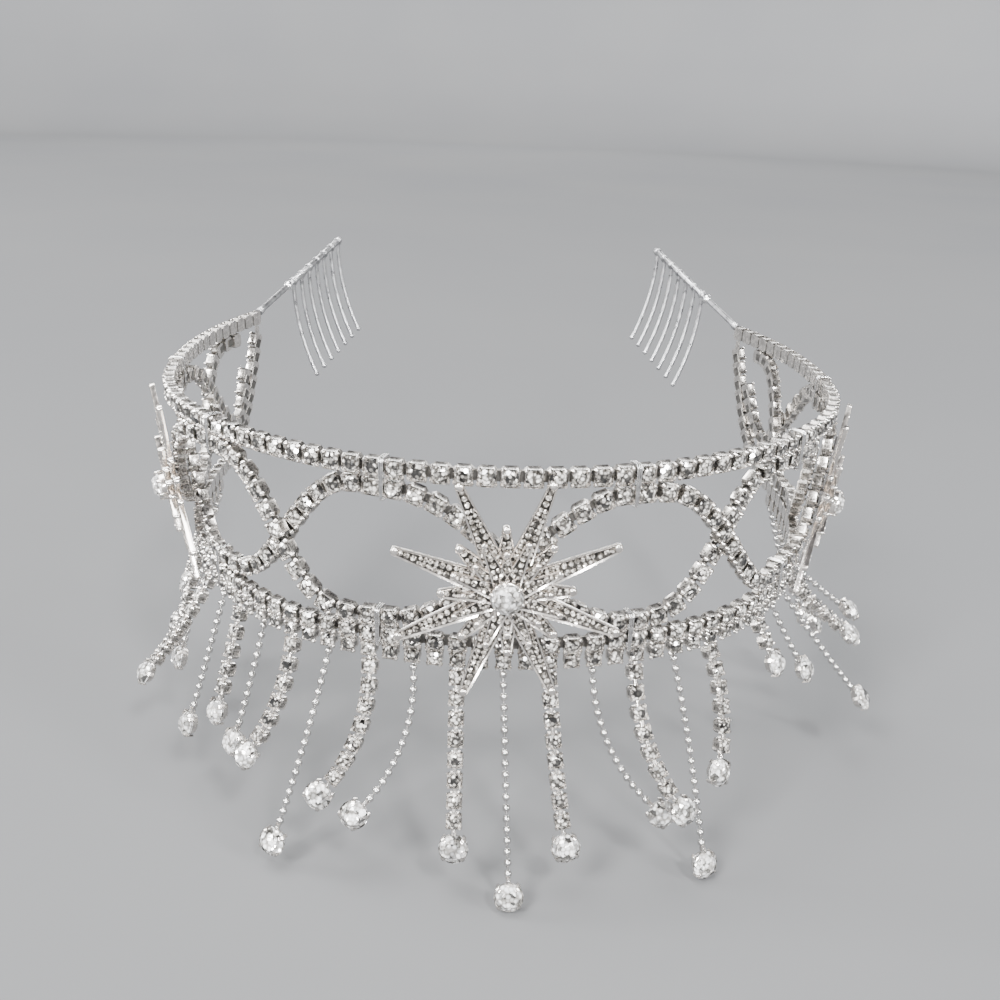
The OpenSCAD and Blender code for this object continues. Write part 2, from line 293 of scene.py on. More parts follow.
def plated(name, light, dark, rough, grain=900, deep=0.006 * mm):
    """Plated metal: cloudy polish, and a fine uneven skin that is drawn out up and down."""
    finish, nodes, links, shader = new_finish(name)
    shader.inputs["Metallic"].default_value = 1
    where = nodes.new("ShaderNodeTexCoord")
    cloud = nodes.new("ShaderNodeTexNoise")
    cloud.inputs["Scale"].default_value = grain
    cloud.inputs["Detail"].default_value = 4
    links.new(where.outputs["Object"], cloud.inputs["Vector"])
    tone = ramp(nodes, [(0.3, dark), (0.62, light)])
    links.new(cloud.outputs["Fac"], tone.inputs["Fac"])
    links.new(tone.outputs["Color"], shader.inputs["Base Color"])
    polish = nodes.new("ShaderNodeMapRange")
    polish.inputs["From Min"].default_value = 0.3
    polish.inputs["From Max"].default_value = 0.7
    polish.inputs["To Min"].default_value = rough[0]
    polish.inputs["To Max"].default_value = rough[1]
    links.new(cloud.outputs["Fac"], polish.inputs["Value"])
    links.new(polish.outputs["Result"], shader.inputs["Roughness"])
    stretch = nodes.new("ShaderNodeMapping")
    stretch.inputs["Scale"].default_value = (2200, 2200, 700)
    links.new(where.outputs["Object"], stretch.inputs["Vector"])
    lines = nodes.new("ShaderNodeTexNoise")
    lines.inputs["Scale"].default_value = 1
    links.new(stretch.outputs["Vector"], lines.inputs["Vector"])
    skin = nodes.new("ShaderNodeBump")
    skin.inputs["Strength"].default_value = 0.5
    skin.inputs["Distance"].default_value = deep
    links.new(lines.outputs["Fac"], skin.inputs["Height"])
    links.new(skin.outputs["Normal"], shader.inputs["Normal"])
    return finish


def foiled_stone(name, cell, scatter, painted_reflections, rough, glint, painted_seam_dark):
    """A cut stone on foil: each facet, and each patch of foil seen through it, throws its own light, and
    bright and dark reflections are painted into its colour.
    """
    finish, nodes, links, shader = new_finish(name)
    shader.inputs["Metallic"].default_value = glint
    shader.inputs["Roughness"].default_value = rough
    shader.inputs["Coat Weight"].default_value = 1
    shader.inputs["Coat Roughness"].default_value = 0.02
    shader.inputs["Coat IOR"].default_value = 1.7
    where = nodes.new("ShaderNodeTexCoord")
    patch = nodes.new("ShaderNodeTexVoronoi")
    patch.inputs["Scale"].default_value = 1 / cell
    links.new(where.outputs["Object"], patch.inputs["Vector"])
    facet = nodes.new("ShaderNodeAttribute")
    facet.attribute_name = "facet"
    own = nodes.new("ShaderNodeTexWhiteNoise")
    own.noise_dimensions = "1D"
    links.new(facet.outputs["Fac"], own.inputs["W"])
    both = vector_step(nodes, links, "ADD", patch.outputs["Color"], own.outputs["Color"]).outputs["Vector"]
    centred = vector_step(nodes, links, "SUBTRACT", both, (1, 1, 1))
    spread = vector_step(nodes, links, "MULTIPLY", centred.outputs["Vector"], (scatter, scatter, scatter))
    face = nodes.new("ShaderNodeNewGeometry")
    thrown = vector_step(nodes, links, "ADD", face.outputs["Normal"], spread.outputs["Vector"])
    unit = vector_step(nodes, links, "NORMALIZE", thrown.outputs["Vector"])
    links.new(unit.outputs["Vector"], shader.inputs["Normal"])
    # Painted reflection: a bright or dark reflection for each facet and patch is painted into the base
    # colour.
    tone = ramp(nodes, painted_reflections)
    split = nodes.new("ShaderNodeSeparateXYZ")
    links.new(both, split.inputs["Vector"])
    half = nodes.new("ShaderNodeMath")
    half.operation = "MULTIPLY"
    half.inputs[1].default_value = 0.5
    links.new(split.outputs["X"], half.inputs[0])
    links.new(half.outputs["Value"], tone.inputs["Fac"])
    # Painted dark seams between the patches, part of the painted reflection.
    line = ramp(nodes, [(0.36, (1, 1, 1)), (0.66, (painted_seam_dark, painted_seam_dark * 0.96, painted_seam_dark * 0.9))])
    links.new(patch.outputs["Distance"], line.inputs["Fac"])
    painted_reflection_colour = multiplied(nodes, links, tone.outputs["Color"], line.outputs["Color"])
    links.new(painted_reflection_colour, shader.inputs["Base Color"])
    return finish


cup_silver = plated("cup_silver", light=(0.78, 0.742, 0.702), dark=(0.52, 0.494, 0.466), rough=(0.16, 0.32))
# Painted shade: the sunk sides of the cups are painted darker than the cup metal, as shade in the recesses.
painted_side_shade = plated(
    "painted_side_shade", light=(0.4, 0.38, 0.355), dark=(0.09, 0.086, 0.08), rough=(0.2, 0.4), grain=2600)
# Painted shade: the strips behind the chains are painted dark, so that the gaps between cups read as
# shadow.
strip_painted_shade = plated("strip_painted_shade", light=(0.2, 0.192, 0.18), dark=(0.09, 0.086, 0.08), rough=(0.3, 0.5))
# Painted reflections of the cup stones' facets and foil, from dark to white.
cup_painted_reflections = [
    (0.24, (0.025, 0.0235, 0.0215)), (0.38, (0.14, 0.132, 0.12)),
    (0.5, (0.5, 0.475, 0.44)), (0.62, (1, 0.97, 0.92)),
]
cup_stone = foiled_stone(
    "cup_stone", cell=0.66 * mm, scatter=1.0, painted_reflections=cup_painted_reflections, rough=0.16, glint=0.4, painted_seam_dark=0.1)


def round_cut(r, back, height, finish):
    """A round stone facing -Y: a flat table, star facets, main facets and small facets at the girdle."""
    sides = 8
    table = 0.56
    star_cut = 0.44
    girdle_cut = 0.36
    edge = 2 * r * math.sin(math.pi / sides)
    bpy.ops.object.select_all(action="DESELECT")
    bpy.ops.mesh.primitive_cone_add(
        vertices=sides, radius1=r, radius2=r * table, depth=height,
        location=(0, back - height / 2, 0), rotation=(math.pi / 2, 0, 0))
    stone = opened(new_piece(finish), lambda middle, normal: normal.y > 0.9)
    pick(stone, "VERT", lambda point: point.y < back - height * 0.9)
    bpy.ops.mesh.bevel(offset=edge * table * star_cut, affect="VERTICES")
    done()
    pick(stone, "VERT", lambda point: point.y > back - height * 0.1)
    bpy.ops.mesh.bevel(offset=edge * girdle_cut, affect="VERTICES")
    return done()


def claw(place, r, length):
    """The rounded end of one folded claw."""
    bpy.ops.object.select_all(action="DESELECT")
    bpy.ops.mesh.primitive_cone_add(
        vertices=5, radius1=r, radius2=r * 0.5, depth=length, location=place, rotation=(math.pi / 2, 0, 0))
    nub = opened(new_piece(cup_silver), lambda middle, normal: normal.y > 0.9)
    return smoothed(nub, 70)


def square_cup(side, claw_r, notch):
    """A square cup with sunk sides and four broad folded claws round a cut stone, facing -Y."""
    near = 0.1 * mm
    wall = (side - notch) / 2
    cup = block((2 * wall, cup_depth, 2 * wall), (0, 0, 0), cup_silver)
    eased(cup, lambda middle, way: abs(way.y) > 0.9, cup_corner)
    pick(cup, "FACE", lambda middle, normal: normal.y < -0.9)
    bpy.ops.mesh.inset(thickness=cup_lip, depth=-cup_well)
    done()

    def is_side(middle, normal):
        return max(abs(normal.x), abs(normal.z)) > 0.99 and abs(middle.y) < near

    pick(cup, "FACE", is_side)
    bpy.ops.mesh.inset(thickness=side_frame, depth=-side_sunk)
    done()
    # The sunk side panels get the darker finish: painted shade in the recesses.
    cup.data.materials.append(painted_side_shade)
    for face in cup.data.polygons:
        away = max(abs(face.center.x), abs(face.center.z))
        if abs(face.normal.y) < 0.1 and abs(face.center.y) < near and away < wall - near:
            face.material_index = 1
    smoothed(cup)
    parts = [cup, round_cut(side * stone_share, -cup_depth / 2 + stone_seat, cut_height, cup_stone)]
    reach = side / 2 - claw_r * claw_tuck
    for x in (-reach, reach):
        for z in (-reach, reach):
            parts.append(claw((x, -cup_depth / 2 - claw_lift, z), claw_r, claw_length))
    return joined("cup", parts)


def strip_piece(width, height):
    """One length of the strip behind a chain, as long as from cup to cup."""
    # The strip is painted dark: painted shade in the gaps between cups.
    strip = block((width, strip_t, height), (0, strip_y, 0), strip_painted_shade)
    return smoothed(eased(strip, lambda middle, way: abs(way.x) > 0.9, 0.15 * mm))


big_cup = square_cup(side=cup_side + 0.1 * mm, claw_r=0.56 * mm, notch=0.1 * mm)
rail_strip = strip_piece(width=pitch + 0.3 * mm, height=2.4 * mm)
rail_places = [on_band(i * pitch, rise) for i in range(-half_count, half_count + 1)]
rail_joins = [on_band((i + 0.5) * pitch, rise) for i in range(-half_count, half_count)]
top_rail = joined("top_rail_chain", copies(big_cup, rail_places) + copies(rail_strip, rail_joins))
fitted(numbered(top_rail), "rail_chain", "top_rail")

# Bottom rail
# The lower edge: slightly smaller cups that run level round the front and sweep
# up to the top rail at each end, with a row of small cups soldered underneath
# and a post behind each end.
low_side = 3.3 * mm
low_widened = 1.07
small_side = 3.1 * mm
sweep_start = half_length - 34 * mm
sweep_rise = rise - 3.4 * mm
low_end = half_length - 0.8 * mm
tab_count = 30


def low_z(s):
    t = max(0, (abs(s) - sweep_start) / (half_length - sweep_start))
    return sweep_rise * t ** 2.5


def low_slope(s):
    return math.atan(grade(low_z, abs(s)))


low_run = [0.0]
while low_run[-1] <= low_end:
    s = low_run[-1]
    low_run.append(s + pitch * math.cos(low_slope(s + pitch / 2)))
low_run.pop()

low_cup = square_cup(side=low_side + 0.1 * mm, claw_r=0.52 * mm, notch=0.1 * mm)
low_cup.data.transform(Matrix.Diagonal((low_widened, 1, 1, 1)))
small_cup = square_cup(side=small_side + 0.1 * mm, claw_r=0.54 * mm, notch=0.3 * mm)
low_places = []
tab_places = []
low_joins = []
for side in (-1, 1):
    for i, s in enumerate(low_run):
        place = on_band(side * s, low_z(s), 0, side * low_slope(s))
        if i > 0 or side > 0:
            low_places.append(place)
            if i <= tab_count:
                tab_places.append(place @ at(0, 0, -(low_side + small_side) / 2 - gap))
        if i > 0:
            middle = (low_run[i - 1] + s) / 2
            low_joins.append(on_band(side * middle, low_z(middle), 0, side * low_slope(middle)))


def post(place, height, width):
    """A short flat wire soldered behind two cups, standing on a place."""
    wire = block((width, strip_t, height), (0, strip_y, height / 2), cup_silver)
    wire = smoothed(eased(wire, lambda middle, way: abs(way.z) > 0.9, 0.14 * mm))
    wire.data.transform(place)
    return wire


end_z = low_z(low_run[-1])
post_height = rise - cup_side / 2 - gap - end_z
posts = [post(on_band(side * low_run[-1], end_z), post_height, 1.6 * mm) for side in (-1, 1)]
tab_wire = post(at(0, 0, 0), low_side / 2 + 1 * mm, 1.2 * mm)
bottom_rail = joined("bottom_rail_chain", copies(low_cup, low_places) + copies(small_cup, tab_places)
                     + copies(rail_strip, low_joins) + copies(tab_wire, tab_places) + posts)
fitted(numbered(bottom_rail), "rail_chain", "bottom_rail")

# Waves
# Two more lengths of the same chain swing between the rails in opposite waves.
# They cross behind the stars and halfway between them, and at each crossing one
# is bent outwards and the other inwards.
half_wave = 44.4 * mm
layer = 1.4 * mm
wave_end = half_length - 9.5 * mm
crest_gap = (cup_side + low_side) / 2 + 0.35 * mm
outer_square = 0.13


def swing(s):
    """From -1 to 1 along a wave, which runs squarer beyond the front crests."""
    square = 0 if abs(s) < half_wave / 2 else outer_square
    phase = math.pi * s / half_wave
    return (math.sin(phase) + square * math.sin(3 * phase)) / (1 - square)


def wave_z(s, strand):
    low = low_z(s) + crest_gap / math.cos(low_slope(s))
    high = rise - cup_side - gap
    return (low + high) / 2 + strand * (high - low) / 2 * swing(s)


def wave_slope(s, strand):
    return math.atan(grade(lambda run: wave_z(run, strand), s))


def on_wave(s, strand):
    out = strand * layer * (1 - math.sin(math.pi * s / half_wave) ** 4)
    return on_band(s, wave_z(s, strand), out, wave_slope(s, strand))


wave_strip = strip_piece(width=pitch + 0.2 * mm, height=2 * mm)
for name, strand in (("a", 1), ("b", -1)):
    cups = []
    strips = []
    for side in (-1, 1):
        s = 0.0
        while s <= wave_end:
            if s > 0 or side > 0:
                cups.append(on_wave(side * s, strand))
            half_step = s + pitch / 2 * math.cos(wave_slope(side * s, strand))
            onward = s + pitch * math.cos(wave_slope(side * half_step, strand))
            if onward <= wave_end:
                strips.append(on_wave(side * (s + onward) / 2, strand))
            s = onward
    wave = joined("wave_chain_" + name, copies(big_cup, cups) + copies(wave_strip, strips))
    fitted(numbered(wave), "wave_chain", "wave_strand_" + name)

# Wire wraps
# Fine silver wire, lashed three times round a rail and the crest or the trough
# of a wave, and pulled into the gap between two cups.
wrap_silver = plated(
    "wrap_silver", light=(0.8, 0.79, 0.78), dark=(0.6, 0.59, 0.58), rough=(0.12, 0.24), grain=1400)
wrap_wire_r = 0.16 * mm
wrap_bend_r = 0.6 * mm
wrap_pitch = 0.3 * mm
wrap_depth = cup_depth + stone_height + 4 * gap + 2 * wrap_wire_r


def lashing(height):
    """Three turns of fine wire round two chains, centred, with the long way up."""
    turns = []
    for k in (-1, 0, 1):
        bpy.ops.object.select_all(action="DESELECT")
        bpy.ops.mesh.primitive_plane_add(
            size=1, location=(0, -stone_height / 2, 0), rotation=(0, math.pi / 2, 0))
        turn = bpy.context.view_layer.objects.active
        turn.scale = (height + 2 * wrap_wire_r, wrap_depth + 0.05 * mm * k, 1)
        bpy.ops.object.transform_apply(location=True, rotation=True, scale=True)
        pick(turn, "VERT", lambda point: True)
        bpy.ops.mesh.bevel(offset=wrap_bend_r, segments=4, affect="VERTICES")
        bpy.ops.mesh.select_all(action="SELECT")
        bpy.ops.mesh.delete(type="ONLY_FACE")
        turn = done()
        turn.data.transform(at(k * wrap_pitch, 0, 0) @ Matrix.Rotation(0.02 * k, 4, "Y"))
        bpy.ops.object.convert(target="CURVE")
        turn.data.bevel_depth = wrap_wire_r
        turn.data.bevel_resolution = 1
        bpy.ops.object.convert(target="MESH")
        turn = new_piece(wrap_silver)
        turns.append(smoothed(turn, 80))
    return joined("lashing", turns)


def gap_near(s):
    return (math.floor(s / pitch) + 0.5) * pitch


high_lashing = lashing(2 * cup_side + 4 * gap)
low_lashing = lashing(crest_gap + cup_side / 2 + low_side / 2 + 2 * gap)
crests = [gap_near((i + 0.5) * half_wave) for i in range(-3, 3)]
high_wraps = [on_band(s, rise - cup_side / 2 - gap / 2) for s in crests]
low_wrap_z = (crest_gap + cup_side / 2 - low_side / 2) / 2
low_wraps = [on_band(s, low_wrap_z) for s in crests[1:5]]
wraps = joined("wire_lashings", copies(high_lashing, high_wraps) + copies(low_lashing, low_wraps))
fitted(wraps, "wrap_wire", "wire_wraps")

# Stars
# Three cast brooches, rhodium-bright: eight long and eight short rays with
# polished rims round a sunk bed that is filled with small set stones, a knob on
# each tip, and a smaller raised star with a claw cup in the middle.
star_z = 12.5 * mm
star_out = layer + cup_depth / 2 + stone_height + 2 * gap
plate_t = 1.1 * mm
rim = 0.3 * mm
bed_sunk = 0.35 * mm
stone_proud = 0.04 * mm
star_silver = plated(
    "star_silver", light=(0.86, 0.81, 0.76), dark=(0.66, 0.62, 0.58), rough=(0.12, 0.24), grain=700)
# Painted shade: the sunk bed between the set stones is painted near black, as shade.
bed_painted_shade = plated(
    "bed_painted_shade", light=(0.05, 0.047, 0.043), dark=(0.02, 0.019, 0.018), rough=(0.4, 0.6), grain=1500)
# Painted reflections of the small set stones' facets and foil, from dark to white.
pave_painted_reflections = [
    (0.2, (0.1, 0.092, 0.083)), (0.36, (0.35, 0.325, 0.295)),
    (0.5, (0.8, 0.75, 0.69)), (0.62, (1, 0.95, 0.88)),
]
pave_stone = foiled_stone(
    "pave_stone", cell=0.6 * mm, scatter=0.9, painted_reflections=pave_painted_reflections, rough=0.15, glint=0.5, painted_seam_dark=0.2)


def on_star(s):
    """The place of a star's back, with +Z outwards from the band."""
    lean = math.atan(foot(s) / rise)
    return on_band(s, star_z, star_out) @ Matrix.Rotation(math.pi / 2 - lean, 4, "X")


def ray_list(long_reach, short_reach, root_w, tip_r):
    """The rays of a star: eight long and eight short, each by its turn, reach, half width and tip."""
    rays = [(math.radians(22.5 + 45 * k), long_reach) for k in range(8)]
    rays += [(math.radians(45 * k), short_reach) for k in range(8)]
    return [(turn, reach, root_w, tip_r) for turn, reach in rays]


def ray_bar(reach, root_w, tip_r, low, high):
    """A tapering ray with a raised rim and a sunk bed, pointing along +Y."""
    length = reach - tip_r
    bar = block((2 * root_w, length, high - low), (0, length / 2, (low + high) / 2), star_silver)
    pick(bar, "FACE", lambda middle, normal: normal.y > 0.9)
    bpy.ops.transform.resize(value=(tip_r / root_w, 1, 1))
    done()
    pick(bar, "FACE", lambda middle, normal: normal.z > 0.9)
    bpy.ops.mesh.inset(thickness=rim)
    bpy.ops.transform.translate(value=(0, 0, -bed_sunk))
    done()
    # The sunk bed faces get the near-black finish: painted shade between the stones.
    bar.data.materials.append(bed_painted_shade)
    for face in bar.data.polygons:
        if face.normal.z > 0.9 and face.center.z < high - bed_sunk * 0.9:
            face.material_index = 1
    eased(bar, lambda middle, way: middle.z > high - 0.01 * mm, 0.12 * mm, 2)
    return smoothed(bar, 50)


def knob(reach, tip_r, low, high):
    """The rounded, polished end of a ray."""
    bpy.ops.object.select_all(action="DESELECT")
    bpy.ops.mesh.primitive_cylinder_add(
        vertices=14, radius=tip_r * 1.02, depth=high - low + 0.1 * mm,
        location=(0, reach - tip_r * 1.02, (low + high) / 2 + 0.05 * mm))
    end = new_piece(star_silver)
    pick(end, "FACE", lambda middle, normal: normal.z > 0.9)
    bpy.ops.mesh.bevel(offset=tip_r * 0.55, segments=3)
    return smoothed(done(), 60)


def small_stone():
    """A small set stone facing +Z, 1 mm in radius before it is scaled to its place."""
    bpy.ops.object.select_all(action="DESELECT")
    bpy.ops.mesh.primitive_cone_add(
        vertices=8, radius1=mm, radius2=0.62 * mm, depth=0.7 * mm, location=(0, 0, -0.35 * mm))
    return opened(new_piece(pave_stone), lambda middle, normal: normal.z < -0.9)


def set_stones(rays, first, top):
    """Places for small stones of fitting size, row after row along each ray, from its tip to the middle."""
    widest = 1.12 * mm
    largest_r = 0.66 * mm
    tip_clear = 2.4
    row_step = 1.96
    closest = 0.82
    taken = []
    for turn, reach, root_w, tip_r in rays:
        along = reach - tip_clear * tip_r
        while along > first:
            width = 2 * (root_w - (root_w - tip_r) * along / (reach - tip_r)) - 2 * rim
            count = max(1, round(width / widest))
            r = min(width / count / 2, largest_r)
            for k in range(count):
                across = (k - (count - 1) / 2) * width / count
                x = across * math.cos(turn) - along * math.sin(turn)
                y = across * math.sin(turn) + along * math.cos(turn)
                if all((x - a) ** 2 + (y - b) ** 2 > (closest * (r + c)) ** 2 for a, b, c in taken):
                    taken.append((x, y, r))
            along -= row_step * r
    return [at(x, y, top) @ Matrix.Rotation(dice.uniform(0, 3), 4, "Z") @ Matrix.Scale(r / mm, 4)
            for x, y, r in taken]


def turned(piece, turn):
    piece.data.transform(Matrix.Rotation(turn, 4, "Z"))
    return piece


def rayed_star(rays, first, low, high):
    """The parts of a star that lies flat: its rays with their knobs, and the stones set in them."""
    parts = []
    for turn, reach, root_w, tip_r in rays:
        parts.append(turned(ray_bar(reach, root_w, tip_r, low, high), turn))
        parts.append(turned(knob(reach, tip_r, low, high), turn))
    return parts + copies(set_stone, set_stones(rays, first, high + stone_proud))


def folded(piece, chosen, way, narrowed):
    """Draws the chosen end of a prong out and over, and narrows it."""
    pick(piece, "FACE", chosen)
    bpy.ops.mesh.extrude_region_move(TRANSFORM_OT_translate={"value": way})
    bpy.ops.transform.resize(value=narrowed)
    return done()


set_stone = small_stone()
plate_rays = ray_list(long_reach=22.6 * mm, short_reach=12.8 * mm, root_w=2.7 * mm, tip_r=0.8 * mm)
plate = joined("star_plate_pattern", rayed_star(plate_rays, first=4.5 * mm, low=0, high=plate_t))

boss_low = plate_t + gap
boss_high = boss_low + 1.3 * mm
boss_rays = ray_list(long_reach=11 * mm, short_reach=8.5 * mm, root_w=2 * mm, tip_r=0.6 * mm)
boss_parts = rayed_star(boss_rays, first=3.6 * mm, low=boss_low, high=boss_high)
bpy.ops.object.select_all(action="DESELECT")
bpy.ops.mesh.primitive_cylinder_add(
    vertices=24, radius=3.12 * mm, depth=1.3 * mm, location=(0, 0, boss_high + 0.48 * mm))
claw_cup = eased(new_piece(star_silver), lambda middle, way: middle.z > boss_high + mm, 0.12 * mm, 2)
boss_parts.append(smoothed(claw_cup))
for k in range(6):
    prong = block((0.6 * mm, 0.4 * mm, 1.9 * mm), (0, 3.15 * mm, boss_high + 0.75 * mm), star_silver)
    folded(prong, lambda middle, normal: normal.z > 0.9, (0, -0.55 * mm, 0.28 * mm), (0.7, 0.7, 1))
    eased(prong, lambda middle, way: True, 0.1 * mm)
    boss_parts.append(turned(smoothed(prong, 60), math.radians(60 * k + 10)))
boss = joined("star_boss_pattern", boss_parts)

# Painted reflections of the round stones' facets and foil, from dark to white.
clear_painted_reflections = [(0.2, (0.06, 0.059, 0.056)), (0.33, (0.3, 0.295, 0.28)), (0.46, (1, 1, 1))]
clear_stone = foiled_stone(
    "clear_stone", cell=0.8 * mm, scatter=1.0, painted_reflections=clear_painted_reflections, rough=0.1, glint=0.35, painted_seam_dark=0.4)
round_stone_r = 2.95 * mm
crown_height = 1.2 * mm


def brilliant(girdle):
    """A round brilliant facing -Y with its back at the origin: a girdle and a cut crown."""
    bpy.ops.object.select_all(action="DESELECT")
    bpy.ops.mesh.primitive_cylinder_add(
        vertices=16, radius=round_stone_r, depth=girdle,
        location=(0, -girdle / 2, 0), rotation=(math.pi / 2, 0, 0))
    band = opened(new_piece(clear_stone), lambda middle, normal: normal.y < -0.9)
    return joined("brilliant", [band, round_cut(round_stone_r, -girdle, crown_height, clear_stone)])


middle_stone = brilliant(girdle=0.4 * mm)
middle_stone.data.transform(Matrix.Rotation(-math.pi / 2, 4, "X"))
stone_low = plate_t + 2.3 * mm + 2 * gap
for name, s, straightened in (("front", 0, 2.3), ("left", -2 * half_wave, 0), ("right", 2 * half_wave, 0)):
    place = on_star(s) @ Matrix.Rotation(math.radians(straightened), 4, "Z")
    piece = joined(name + "_brooch", copies(plate, [place]))
    fitted(numbered(piece), "star_metal", name + "_star")
    piece = joined(name + "_raised_star", copies(boss, [place]))
    fitted(numbered(piece), "star_metal", name + "_star_boss")
    piece = joined(name + "_middle_stone", copies(middle_stone, [place @ at(0, 0, stone_low)]))
    fitted(numbered(piece), "clear_stone", name + "_star_stone")

# Fringe
# Thirty strands of cup chain or ball chain hang from the small cups. Each was
# cut to length, hooked on and ends in a round stone drop. Each lies as it fell,
# leaning outwards from the band.
strand_pitch = 4.05 * mm
ball_pitch = 2.2 * mm
drop_r = 3 * mm
straight = 0.01
CUPS, BALLS = "cups", "balls"
# Stone it hangs from, kind, how many, angle at its top and at its drop, lean
fringe = [
    (-30, CUPS, 4, 0, 5, 18), (-28, BALLS, 9, 0, -6, 18), (-26, CUPS, 4, 0, -8, 18),
    (-24, BALLS, 10, 0, 8, 18), (-22, CUPS, 5, 0, 6, 18), (-20, BALLS, 10, 0, 4, 18),
    (-18, CUPS, 7, -4, -28, 30), (-16, BALLS, 13, 4, 0, 20), (-14, CUPS, 5, 8, 0, 20),
    (-12, BALLS, 11, 0, -6, 18), (-10, CUPS, 6, 10, -30, 23), (-8, BALLS, 18, -6, -12, 18),
    (-6, CUPS, 7, 10, -38, 18), (-4, BALLS, 14, 10, -42, 18), (-2, CUPS, 8, 2, 2, 18),
    (0, BALLS, 19, 3, 3, 18), (2, CUPS, 8, 3, 8, 18), (4, BALLS, 15, 0, 48, 14),
    (6, CUPS, 7, -8, 33, 26), (8, BALLS, 19, 8, 1, 18), (10, CUPS, 6, 17, -21, 18),
    (14, CUPS, 2, 6, 14, 26), (16, BALLS, 7, 8, 18, 28), (18, BALLS, 15, 10, 22, 36),
    (20, CUPS, 5, 0, 32, 46), (22, BALLS, 9, 10, 30, 48), (24, CUPS, 5, 2, 10, 24),
    (26, BALLS, 10, 0, 6, 18), (28, CUPS, 4, 0, -6, 18), (30, BALLS, 8, 0, -6, 18),
]
ball_silver = plated(
    "ball_silver", light=(0.62, 0.61, 0.595), dark=(0.48, 0.47, 0.46), rough=(0.18, 0.28), grain=600)

bpy.ops.object.select_all(action="DESELECT")
bpy.ops.mesh.primitive_uv_sphere_add(segments=10, ring_count=6, radius=0.8 * mm)
ball = smoothed(new_piece(ball_silver), 80)
bpy.ops.object.select_all(action="DESELECT")
bpy.ops.mesh.primitive_cylinder_add(
    vertices=5, radius=0.27 * mm, depth=1 * mm, location=(0, 0, ball_pitch / 2), end_fill_type="NOTHING")
pin = smoothed(new_piece(ball_silver), 80)
ball = joined("ball", [ball, pin])

link = block((0.9 * mm, 0.7 * mm, 1.3 * mm), (0, -0.5 * mm, 0), cup_silver)
link = smoothed(eased(link, lambda middle, way: abs(way.z) > 0.9, 0.12 * mm), 60)

bpy.ops.object.select_all(action="DESELECT")
bpy.ops.mesh.primitive_torus_add(
    major_radius=0.62 * mm, minor_radius=0.18 * mm, major_segments=12, minor_segments=5,
    rotation=(0, math.pi / 2, 0))
hook_ring = smoothed(new_piece(ball_silver), 80)

bpy.ops.object.select_all(action="DESELECT")
bpy.ops.mesh.primitive_cone_add(
    vertices=16, radius1=2.1 * mm, radius2=2.85 * mm, depth=1.7 * mm,
    location=(0, 0.35 * mm, 0), rotation=(math.pi / 2, 0, 0))
drop_cup = new_piece(cup_silver)
pick(drop_cup, "FACE", lambda middle, normal: normal.y < -0.9)
bpy.ops.mesh.inset(thickness=0.22 * mm)
bpy.ops.transform.translate(value=(0, 0.3 * mm, 0))
drop_parts = [smoothed(done())]
for k in range(4):
    prong = block((0.75 * mm, 1.7 * mm, 0.4 * mm), (0, -0.15 * mm, 2.85 * mm), cup_silver)
    folded(prong, lambda middle, normal: normal.y < -0.9, (0, -0.4 * mm, -0.6 * mm), (0.7, 1, 0.7))
    smoothed(prong, 60)
    prong.data.transform(Matrix.Rotation(math.radians(45 + 90 * k), 4, "Y"))
    drop_parts.append(prong)
drop_stone = brilliant(girdle=0.25 * mm)
drop_stone.data.transform(at(0, -0.35 * mm, 0))
drop_parts.append(drop_stone)
drop = joined("drop", drop_parts)


def strand_line(top, length, top_angle, bend):
    """The line of a strand: it gives the place at any run down it, in one even curve from its top."""
    def spot(run):
        a = top_angle + bend * run / length
        if abs(bend) < straight:
            x, z = run * math.sin(a), -run * math.cos(a)
        else:
            x = length / bend * (math.cos(top_angle) - math.cos(a))
            z = length / bend * (math.sin(top_angle) - math.sin(a))
        return top @ (at(x, 0, z) @ Matrix.Rotation(-a, 4, "Y"))
    return spot


for at_stone, kind, count, top_angle, end_angle, lean in fringe:
    lean = math.radians(lean)
    top_angle = math.radians(top_angle)
    step = strand_pitch if kind == CUPS else ball_pitch
    length = count * step + drop_r + 0.5 * mm
    s = at_stone * pitch
    start = low_side / 2 + small_side + gap + cup_depth / 2 * math.sin(lean)
    top = on_band(s, low_z(s)) @ at(0, 0, -start) @ Matrix.Rotation(-lean, 4, "X")
    spot = strand_line(top, length, top_angle, math.radians(end_angle) - top_angle)
    runs = [(i + 0.5) * step for i in range(count)]
    if kind == CUPS:
        parts = copies(small_cup, [spot(run) for run in runs])
        parts += copies(link, [spot(run + step / 2) for run in runs[:-1]])
        parts += copies(link, [spot(0.1 * mm)])
    else:
        parts = copies(ball, [spot(run) for run in runs])
        parts += copies(hook_ring, [spot(0.2 * mm)])
    parts += copies(hook_ring, [spot(length - drop_r - 0.1 * mm)])
    parts += copies(link, [spot(length - drop_r - 0.35 * mm) @ at(0, 0.2 * mm, 0)])
    parts += copies(drop, [spot(length)])
    name = "centre" if at_stone == 0 else ("left_" if at_stone < 0 else "right_") + str(abs(at_stone))
    strand = joined("fringe_" + name, parts)
    fitted(numbered(strand), "fringe_cups" if kind == CUPS else "ball_chain", "strand_" + name)

